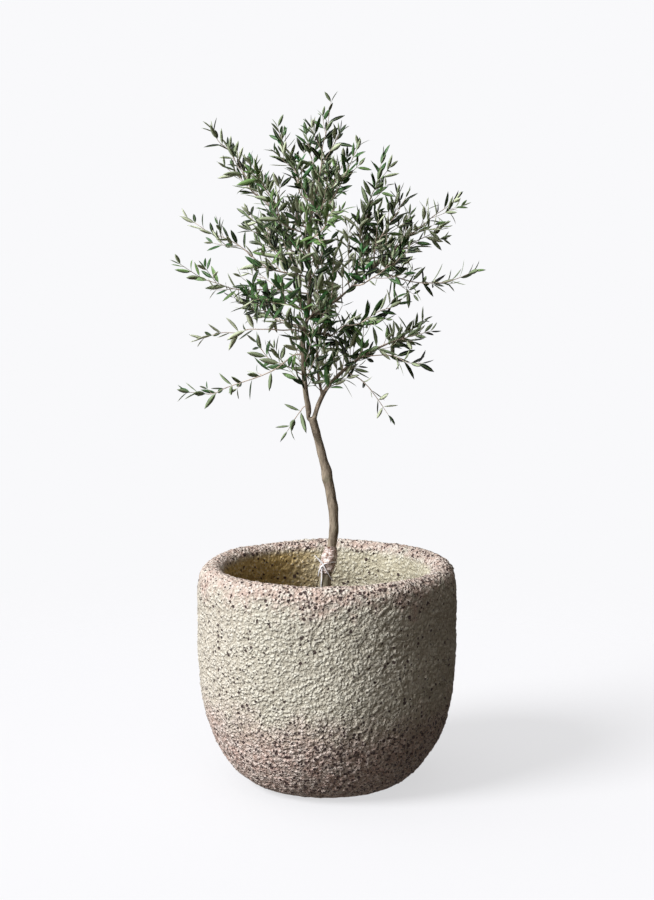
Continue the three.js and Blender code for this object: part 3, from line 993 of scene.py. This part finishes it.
class Crown:
    """Collects the shoots and leaves while the crown grows."""

    def __init__(self, settings):
        self.settings = settings
        self.rng = random.Random(settings.seed)
        self.shoots = []
        self.leaves = {}
        boxes = [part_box(n) for n in MASSES if n.startswith("inner_crown")]
        low = Vector([min(box[0][i] for box in boxes) for i in range(3)])
        high = Vector([max(box[1][i] for box in boxes) for i in range(3)])
        self.middle = (low + high) / 2
        self.half = (high - low) / 2

    def leaf(self, group, place, direction, facing, length, spray):
        """Sets one leaf with its foot at place."""
        across = direction.cross(facing)
        if across.length < 1e-4:
            return
        across.normalize()
        normal = across.cross(direction)
        axes = Matrix((across, direction, normal)).transposed().to_4x4()
        matrix = Matrix.Translation(place) @ axes @ Matrix.Scale(length, 4)
        shape = self.rng.randrange(len(LEAF_SHAPES))
        self.leaves.setdefault(group, []).append((shape, spray, matrix))

    def new_spray(self):
        """The upper and under colours of one spray's leaves."""
        green = self.rng.choices(range(len(LEAF_UPPERS)), LEAF_SHARES)[0]
        return green, self.rng.randrange(len(LEAF_UNDERS))

    def dress(self, group, line, bare, size):
        """Sets crossed pairs of leaves along a shoot, from bare metres along it to its tip."""
        rng, settings = self.rng, self.settings
        spray = self.new_spray()
        places = [point_of(row) for row in line]
        steps = [(b - a).length for a, b in zip(places, places[1:])]
        length = sum(steps)
        turn = rng.uniform(0, TURN)
        along, index, passed = bare, 0, 0.0
        while along < length - 3 * MM:
            while index < len(steps) - 1 and passed + steps[index] < along:
                passed += steps[index]
                index += 1
            share = along / length
            heading = (places[index + 1] - places[index]).normalized()
            place = places[index].lerp(places[index + 1], (along - passed) / steps[index])
            line[index][3] *= NODE_SWELLING
            full = size * (1.0 - SHRINKING * rise(share, SHRINKS_FROM, 1.0))
            for side in (0, math.pi):
                if rng.random() < MISSING:
                    continue
                self.side_leaf(group, place, heading, turn + side, share, full, spray)
            turn += math.pi / 2 + rng.gauss(0, 0.22)
            along += settings.pair_gap * rng.uniform(0.85, 1.2) * (1.0 - 0.22 * share)
        heading = (places[-1] - places[-2]).normalized()
        for side in (0, math.pi):
            last = size * LAST_LEAF
            self.side_leaf(group, places[-1], heading, turn + side, 1.35, last, spray)

    def side_leaf(self, group, place, heading, turn, share, length, spray):
        """Sets a leaf that leaves a shoot at an angle, its upper side towards tip and sky."""
        rng = self.rng
        out = sideways(heading, turn + rng.gauss(0, 0.12))
        angle = self.settings.leaf_angle - TIP_CLOSING * share + rng.gauss(0, LEAF_WOBBLE)
        angle = max(LEAST_ANGLE, angle)
        direction = heading * math.cos(angle) + out * math.sin(angle)
        direction = (direction + UP * rng.uniform(0.0, 0.38)).normalized()
        facing = (heading - direction * heading.dot(direction)).normalized() * 0.45 + UP * 0.35
        facing += (place - self.middle).normalized() * 0.5
        facing = Quaternion(direction, rng.gauss(0, 0.85)) @ facing
        self.leaf(group, place, direction, facing, length * rng.uniform(0.82, 1.12), spray)

    def shoot(self, points, foot, tip):
        """Adds a shoot along a smooth line through points, thinning from foot to tip radius."""
        line = smooth_line(points, LINE_STEP)
        radii = foot + (tip - foot) * np.linspace(0, 1, len(line)) ** 0.8
        rows = [np.array([*place, radius]) for place, radius in zip(line, radii)]
        self.shoots.append(rows)
        return rows


def attach_point(lines, root, heading):
    """The skeleton row that a shoot with this root and heading would best leave from."""
    best, least = None, math.inf
    for line in lines.values():
        for before, row in zip(line, line[1:]):
            gap = root - point_of(row)
            limb = (point_of(row) - point_of(before)).normalized()
            length = max(gap.length, 1e-4)
            # Near, with the shoot heading away from the limb, and not leaving it backwards.
            cost = length * (1.8 - 0.8 * gap.dot(heading) / length)
            cost += 0.012 * max(0.0, 0.2 - gap.dot(limb) / length)
            if cost < least:
                best, least = row, cost
    return best


def room_at(crown, surface, place):
    """How far a twig's tip is inside its own mass, or inside the thick of the crown."""
    found, normal, _, distance = surface.find_nearest(place)
    own = distance if (place - found).dot(normal) < 0 else -distance
    if in_gap(place) or place.z < SKY_GAP[2]:
        return own
    share = Vector([(p - m) / h for p, m, h in zip(place, crown.middle, crown.half)]).length
    return max(own + 0.010, (1 - share) * min(crown.half))


def grow_mass(crown, lines, node, group):
    """Grows one shoot with its side twigs through a foliage mass."""
    rng, settings = crown.rng, crown.settings
    bm = cad_copy(node)
    middle = sum((v.co for v in bm.verts), Vector()) / len(bm.verts)
    name, index = nearest_on(lines, middle)
    start, end = far_ends(bm, point_of(lines[name][index]))
    rows = slices(bm, start, end, 0.024)
    surface = BVHTree.FromBMesh(bm)
    bm.free()

    # The route: a CAD stem where there is one, the mass's middle, and room for the last leaves.
    last = end + (point_of(rows[-1]) - end).normalized() * settings.leaf_length * 0.5
    route = [point_of(row) for row in rows if (point_of(row) - end).length > settings.leaf_length]
    route.append(last)
    stem = node.rsplit("_", 1)[0] + "_stem"
    if stem in STEMS:
        bm = cad_copy(stem)
        ends = sorted(far_ends(bm, route[0]), key=lambda p: -(p - route[0]).length)
        route = [point_of(row) for row in slices(bm, ends[0], ends[1], 0.02)] + route
        bm.free()
    heading = (route[min(2, len(route) - 1)] - route[0]).normalized()
    foot = attach_point(lines, route[0], heading)
    for number in range(1, len(route) - 1):
        route[number] += Vector([rng.gauss(0, WANDER) for _ in range(3)])
    length = (route[0] - point_of(foot)).length
    length += sum((b - a).length for a, b in zip(route, route[1:]))
    bare = length - (last - start).length
    if foot[2] > SKY_GAP[2] + 0.02:
        bare = min(bare, 2 * GROWTH)
    thick = settings.foot_radius * min(1.25, 0.6 + 2.4 * length)
    line = crown.shoot([point_of(foot)] + route, thick, settings.tip_radius)
    crown.dress(group, line, max(bare, 12 * MM), settings.leaf_length)

    # Side twigs, long near the foot and short towards the tip.
    girth = max(row[3] for row in rows)
    sparse = max(1.0, settings.full_girth / girth)
    along = max(bare, 16 * MM) + rng.uniform(0.0, 12 * MM)
    turn = rng.uniform(0, TURN)
    while along < length * TWIGS_TO:
        share = along / length
        at = min(int(share * len(line)), len(line) - 3)
        place = point_of(line[at])
        heading = (point_of(line[at + 2]) - place).normalized()
        longest = girth * rng.uniform(*TWIG_REACH) * (1 - share * 0.80)
        grow_twig(crown, surface, group, place, heading, turn, longest, line[at][3])
        turn += math.pi * rng.uniform(0.55, 1.1)
        gap = settings.twig_gap * sparse * rng.uniform(0.7, 1.3)
        along += gap * (0.55 + 1.5 * share * share)


def grow_twig(crown, surface, group, place, heading, turn, longest, radius, order=1):
    """Grows a side twig, and off a long one a smaller twig of its own."""
    rng, settings = crown.rng, crown.settings
    out = sideways(heading, turn)
    angle = rng.uniform(*TWIG_ANGLES)
    direction = (heading * math.cos(angle) + out * math.sin(angle) + UP * 0.12).normalized()
    points, reach = [place], 0.0
    while reach < longest:
        reach += GROWTH
        direction = (direction + heading * 0.06 + UP * 0.05).normalized()
        ahead = points[-1] + direction * GROWTH
        if room_at(crown, surface, ahead) < ROOM:
            break
        points.append(ahead)
    if len(points) < 2:
        return
    thick = min(radius * 0.75, settings.foot_radius * 0.6)
    line = crown.shoot(points, thick, settings.tip_radius * 0.8)
    crown.dress(group, line, 10 * MM, settings.leaf_length * rng.uniform(0.80, 1.0))
    if order == 1 and len(points) > 4:
        middle = points[len(points) // 2]
        grow_twig(crown, surface, group, middle, direction, turn + 1.6, longest * 0.6, radius * 0.7, 2)


def grow_on_bough(crown, line, group):
    """Grows short leafy twigs straight off a bough, above its bare foot."""
    rng, settings = crown.rng, crown.settings
    along, turn = 0.0, rng.uniform(0, TURN)
    for before, row in zip(line, line[1:]):
        along += (point_of(row) - point_of(before)).length
        gap = settings.bough_gap * (0.5 if row[2] < LEAFY_BELOW else 1.0)
        if row[2] < settings.clear_height or along < gap:
            continue
        along = rng.uniform(-0.4, 0.4) * gap
        turn += rng.uniform(1.6, 3.2)
        heading = (point_of(row) - point_of(before)).normalized()
        level = heading.cross(Vector((0.3, 1, 0.1))).normalized()
        out = Quaternion(heading, turn) @ level
        direction = (heading * 0.55 + out * 0.8 + UP * 0.15).normalized()
        place = point_of(row)
        count = rng.randrange(2, 6)
        if row[2] > SKY_GAP[3]:
            count += round(settings.depth_reach * out.y * out.y / GROWTH)
        if in_gap(place + direction * GROWTH * count):
            continue
        points = [place + direction * GROWTH * i + UP * 0.9 * MM * i * i for i in range(count + 1)]
        shoot = crown.shoot(points, settings.foot_radius * 0.6, settings.tip_radius)
        crown.dress(group, shoot, 13 * MM, settings.leaf_length * rng.uniform(0.85, 1.1))


class PLANT_OT_crown(bpy.types.Operator):
    """Grows the shoots, twigs and leaves of the crown from the limbs."""

    bl_idname = "plant.crown"
    bl_label = "Crown"

    def execute(self, context):
        settings = context.scene.olive_crown
        lines = limb_skeleton()
        crown = Crown(settings)
        groups = {"leaves_left_and_inner": [], "leaves_right": [], "leaves_front_and_back": []}
        for node in MASSES:
            if node.startswith(("front", "back")):
                group = "leaves_front_and_back"
            elif node.startswith(("right", "upright")):
                group = "leaves_right"
            else:
                group = "leaves_left_and_inner"
            groups[group].append(node)
            grow_mass(crown, lines, node, group)
        for bough in BOUGHS:
            grow_on_bough(crown, lines[bough], "leaves_left_and_inner")
        if not crown.shoots:
            raise RuntimeError("no shoot grew")
        twigs = curve_tube("twigs", crown.shoots, 6)
        finish_piece("twigs", twigs, [shoot_material(settings)], STEMS)
        materials = leaf_materials(settings)
        made = {}
        for group, nodes in groups.items():
            bm = bmesh.new()
            for shape, spray, matrix in crown.leaves[group]:
                kind = (shape, *spray)
                if kind not in made:
                    made[kind] = leaf_mesh(LEAF_SHAPES[shape], *spray)
                leaf = made[kind].copy()
                leaf.transform(matrix)
                bm.from_mesh(leaf)
                bpy.data.meshes.remove(leaf)
            mesh = to_mesh(bm, group)
            finish_piece(group, mesh, materials, nodes)
        for mesh in made.values():
            bpy.data.meshes.remove(mesh)
        return {"FINISHED"}


# ----------------------------------------------------------------------- the stage


# Share of the backdrop's own brightness in the floor.
FLOOR_GLOW = 0.67
# Colour of the soft light from the dark side.
SHADE_TINT = "ffcc80"
# Soft light as lobes: direction, the cosine at which a lobe starts, and its brightness.
LOBES = [
    ((-0.85, -0.50, 0.35), 0.10, 0.52),
    ((0.0, 0.0, 1.0), 0.60, 0.66),
    ((-0.45, 0.85, 0.30), 0.30, 0.36),
]


def build_world(settings):
    """A plain pale backdrop for the camera, and soft light in lobes for everything else."""
    world = bpy.data.worlds.new("studio")
    bpy.context.scene.world = world
    world.use_nodes = True
    tree = world.node_tree
    tree.nodes.remove(tree.nodes["Background"])
    direction = add_node(tree, "TexCoord", output="Generated")
    level = settings.shade
    for towards, starts, bright in LOBES:
        inputs = {0: direction, 1: Vector(towards).normalized()}
        facing = add_node(tree, "VectorMath", inputs, "Value", operation="DOT_PRODUCT")
        level = total(tree, (mask(tree, starts, 1.0, facing), bright), start=level)
    strength = total(tree, (level, settings.sky))
    tint = paint(tree, SHADE_TINT, (mask(tree, 0.04, 0.50, level), 1, "ffffff"))
    light = add_node(tree, "Background", {"Strength": strength, "Color": tint})
    plain = add_node(tree, "Background", {"Color": tuple(settings.backdrop)})
    seen = add_node(tree, "LightPath", output="Is Camera Ray")
    both = add_node(tree, "MixShader", {0: seen, 1: light, 2: plain})
    tree.links.new(both, tree.nodes["World Output"].inputs["Surface"])


def floor_material(settings):
    """Plain pale floor, lifted by a glow of its own, that fades into the backdrop."""
    material, tree = new_material("studio_floor", 0.9, tuple(settings.floor))
    shader = tree.nodes["Principled BSDF"]
    shader.inputs["Specular IOR Level"].default_value = 0.0
    glow = add_node(tree, "Emission", {"Color": tuple(settings.backdrop)})
    lifted = add_node(tree, "MixShader", {0: FLOOR_GLOW, 1: shader.outputs[0], 2: glow})
    position = add_node(tree, "TexCoord", output="Object")
    far = add_node(tree, "VectorMath", {0: position}, "Value", operation="LENGTH")
    clear = add_node(tree, "BsdfTransparent")
    both = add_node(tree, "MixShader", {0: mask(tree, 0.7, 1.7, far), 1: lifted, 2: clear})
    tree.links.new(both, tree.nodes["Material Output"].inputs["Surface"])
    return material


class PLANT_OT_stage(bpy.types.Operator):
    """Sets the floor, soft studio light and camera."""

    bl_idname = "plant.stage"
    bl_label = "Stage"

    def execute(self, context):
        settings = context.scene.olive_stage
        bm = bmesh.new()
        bmesh.ops.create_circle(bm, cap_ends=True, segments=96, radius=4.0)
        floor = bpy.data.objects.new("floor", to_mesh(bm, "floor"))
        floor.data.materials.append(floor_material(settings))
        floor.visible_diffuse = False
        context.scene.collection.objects.link(floor)

        build_world(settings)
        lamp = bpy.data.lights.new("key", "SUN")
        lamp.energy = settings.sun
        lamp.angle = settings.sun_softness
        sun = bpy.data.objects.new("key", lamp)
        tilt = math.pi / 2 - settings.sun_height
        sun.rotation_euler = (tilt, 0, settings.sun_bearing + math.pi / 2)
        context.scene.collection.objects.link(sun)

        lens = bpy.data.cameras.new("camera")
        lens.lens = settings.lens
        lens.sensor_width = 36
        camera = bpy.data.objects.new("camera", lens)
        camera.location = (0, -settings.camera_distance, settings.camera_height)
        camera.rotation_euler = (math.pi / 2 - settings.camera_tilt, 0, 0)
        context.scene.collection.objects.link(camera)
        context.scene.camera = camera
        context.scene.view_settings.view_transform = "Standard"
        return {"FINISHED"}


# -------------------------------------------------------------------------- add-on


class PLANT_PT_panel(bpy.types.Panel):
    """Settings and buttons for each part of the plant."""

    bl_idname = "PLANT_PT_panel"
    bl_label = "Potted Olive Tree"
    bl_space_type = "VIEW_3D"
    bl_region_type = "UI"
    bl_category = "Olive"

    def draw(self, context):
        for name, _, operator in PARTS:
            box = self.layout.box()
            settings = getattr(context.scene, name)
            for key in settings.__annotations__:
                box.prop(settings, key)
            box.operator(operator.bl_idname)


PARTS = [
    ("olive_pot", PotSettings, PLANT_OT_pot),
    ("olive_soil", SoilSettings, PLANT_OT_soil),
    ("olive_limbs", LimbSettings, PLANT_OT_limbs),
    ("olive_tape", TapeSettings, PLANT_OT_tape),
    ("olive_crown", CrownSettings, PLANT_OT_crown),
    ("olive_stage", StageSettings, PLANT_OT_stage),
]


def register():
    """Registers the panel, and each part's settings and operator."""
    for name, group, operator in PARTS:
        bpy.utils.register_class(group)
        setattr(bpy.types.Scene, name, bpy.props.PointerProperty(type=group))
        bpy.utils.register_class(operator)
    bpy.utils.register_class(PLANT_PT_panel)


def unregister():
    """Undoes register."""
    bpy.utils.unregister_class(PLANT_PT_panel)
    for name, group, operator in reversed(PARTS):
        bpy.utils.unregister_class(operator)
        delattr(bpy.types.Scene, name)
        bpy.utils.unregister_class(group)


def main():
    """Builds the plant and its stage."""
    register()
    bpy.ops.plant.pot()
    bpy.ops.plant.soil()
    bpy.ops.plant.limbs()
    bpy.ops.plant.tape()
    bpy.ops.plant.crown()
    bpy.ops.plant.stage()


if __name__ == "__main__":
    main()
